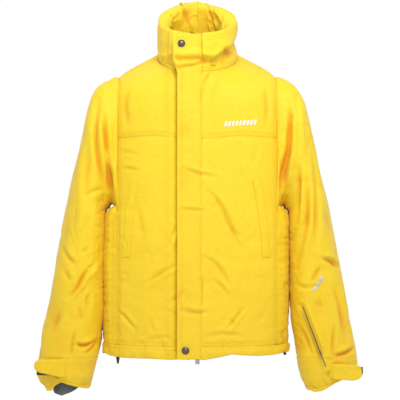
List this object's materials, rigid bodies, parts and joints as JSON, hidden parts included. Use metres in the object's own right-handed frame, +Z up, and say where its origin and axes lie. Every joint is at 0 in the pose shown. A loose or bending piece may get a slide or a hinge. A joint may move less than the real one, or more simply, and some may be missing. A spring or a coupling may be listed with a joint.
{
  "type": "ski jacket",
  "caption": "Padded waist-length ski jacket with a stand collar, snapped storm flap over a front zip, tabbed cuffs and inner wrist gaiters.",
  "frame": {"origin": "middle of the neck, level with the shoulder seams, where the wearer carries the jacket", "axes": "+Z up, the front faces -Y, +X is the wearer's left"},
  "size_m": [0.732, 0.2549, 0.8866],
  "materials": {
    "shell_cloth": "matt woven nylon with a light sheen",
    "lining_cloth": "smooth padded lining",
    "wrist_knit": "ribbed stretch knit",
    "zip_tape": "woven tape",
    "dark_coil": "satin coil",
    "grey_metal": "satin",
    "gunmetal": "dark domed metal",
    "black_plastic": "satin",
    "hook_tape": "bristled tape",
    "loop_tape": "napped tape"
  },
  "bodies": {
    "jacket": {"back_lining": "lining_cloth", "back_panel": "shell_cloth", "back_yoke": "shell_cloth", "collar_lining": "lining_cloth", "collar_shell": "shell_cloth", "collar_snap_stud": "gunmetal", "cord_lock_left": "black_plastic", "cord_lock_right": "black_plastic", "front_lining_left": "lining_cloth", "front_lining_right": "lining_cloth", "front_loop_strip": "loop_tape", "front_panel_left": "shell_cloth", "front_panel_right": "shell_cloth", "front_yoke_left": "shell_cloth", "front_yoke_right": "shell_cloth", "hanger_loop": "zip_tape", "hem_band": "shell_cloth", "hem_drawcord": "black_plastic", "hem_facing": "lining_cloth", "hem_snap_stud": "gunmetal", "pocket_bag_left": "lining_cloth", "pocket_bag_right": "lining_cloth", "pocket_welt_left": "shell_cloth", "pocket_welt_right": "shell_cloth", "side_panel_left": "shell_cloth", "side_panel_right": "shell_cloth", "zip_box": "grey_metal", "zip_tape_left": "zip_tape", "zip_tape_right": "zip_tape", "zip_teeth_left": "dark_coil", "zip_teeth_right": "dark_coil"},
    "storm_flap": {"storm_flap": "shell_cloth", "flap_hook_strip": "hook_tape", "collar_snap_cap": "gunmetal", "hem_snap_cap": "gunmetal"},
    "front_slider": {"zip_slider": "grey_metal", "zip_pull": "grey_metal"},
    "pocket_slider": {"sleeve_pocket_slider": "grey_metal"},
    "pocket_pull": {"sleeve_pocket_pull": "grey_metal"},
    "upper_sleeve_left": {"upper_sleeve_left": "shell_cloth", "sleeve_lining_left": "lining_cloth"},
    "forearm_left": {"forearm_sleeve_left": "shell_cloth", "cuff_left": "shell_cloth", "wrist_gaiter_left": "wrist_knit", "cuff_loop_patch_left": "loop_tape", "sleeve_pocket_zip": "dark_coil"},
    "cuff_tab_left": {"cuff_tab_left": "shell_cloth", "cuff_hook_patch_left": "hook_tape"},
    "plunger_left": {"cord_lock_plunger_left": "black_plastic"},
    "upper_sleeve_right": {"upper_sleeve_right": "shell_cloth", "sleeve_lining_right": "lining_cloth"},
    "forearm_right": {"forearm_sleeve_right": "shell_cloth", "cuff_right": "shell_cloth", "wrist_gaiter_right": "wrist_knit", "cuff_loop_patch_right": "loop_tape"},
    "cuff_tab_right": {"cuff_tab_right": "shell_cloth", "cuff_hook_patch_right": "hook_tape"},
    "plunger_right": {"cord_lock_plunger_right": "black_plastic"}
  },
  "joints": [
    {"name": "shoulder_left", "type": "hinge", "parent": "jacket", "child": "upper_sleeve_left", "pos_m": [0.1772, -0.006, -0.15], "axis": [-1, 0, 0], "range_deg": [-15, 60]},
    {"name": "elbow_left", "type": "hinge", "parent": "upper_sleeve_left", "child": "forearm_left", "pos_m": [0.26375, -0.087, -0.471], "axis": [-0.9865, 0, -0.1637], "range_deg": [0, 90], "stiffness_Nm_per_rad": 0.08, "springref_deg": -85.94},
    {"name": "cuff_tab_left_swing", "type": "hinge", "parent": "forearm_left", "child": "cuff_tab_left", "pos_m": [0.298, -0.0865, -0.683], "axis": [0, 0, -1], "range_deg": [0, 120]},
    {"name": "cord_lock_left_press", "type": "slide", "parent": "jacket", "child": "plunger_left", "axis": [0, 0, -1], "range_m": [0, 0.004], "stiffness_N_per_m": 400, "springref_m": -0.003},
    {"name": "shoulder_right", "type": "hinge", "parent": "jacket", "child": "upper_sleeve_right", "pos_m": [-0.1772, -0.006, -0.15], "axis": [-1, 0, 0], "range_deg": [-15, 60]},
    {"name": "elbow_right", "type": "hinge", "parent": "upper_sleeve_right", "child": "forearm_right", "pos_m": [-0.26375, -0.087, -0.471], "axis": [-0.9865, 0, 0.1637], "range_deg": [0, 90], "stiffness_Nm_per_rad": 0.08, "springref_deg": -85.94},
    {"name": "cuff_tab_right_swing", "type": "hinge", "parent": "forearm_right", "child": "cuff_tab_right", "pos_m": [-0.298, -0.0865, -0.683], "axis": [0, 0, 1], "range_deg": [0, 120]},
    {"name": "cord_lock_right_press", "type": "slide", "parent": "jacket", "child": "plunger_right", "axis": [0, 0, -1], "range_m": [0, 0.004], "stiffness_N_per_m": 400, "springref_m": -0.003},
    {"name": "storm_flap_swing", "type": "hinge", "parent": "jacket", "child": "storm_flap", "pos_m": [0.008, -0.12838, -0.3], "axis": [0, 0.0426, 0.9991], "range_deg": [0, 160]},
    {"name": "front_zip_slide", "type": "slide", "parent": "jacket", "child": "front_slider", "axis": [0, 0.0426, 0.9991], "range_m": [-0.68, 0]},
    {"name": "pocket_zip_slide", "type": "slide", "parent": "forearm_left", "child": "pocket_slider", "axis": [-0.3544, 0.0519, 0.9337], "range_m": [0, 0.098]},
    {"name": "pocket_pull_swing", "type": "hinge", "parent": "pocket_slider", "child": "pocket_pull", "pos_m": [0.26948, -0.09148, -0.651], "axis": [-0.9349, 0, -0.3549], "range_deg": [0, 110]}
  ]
}
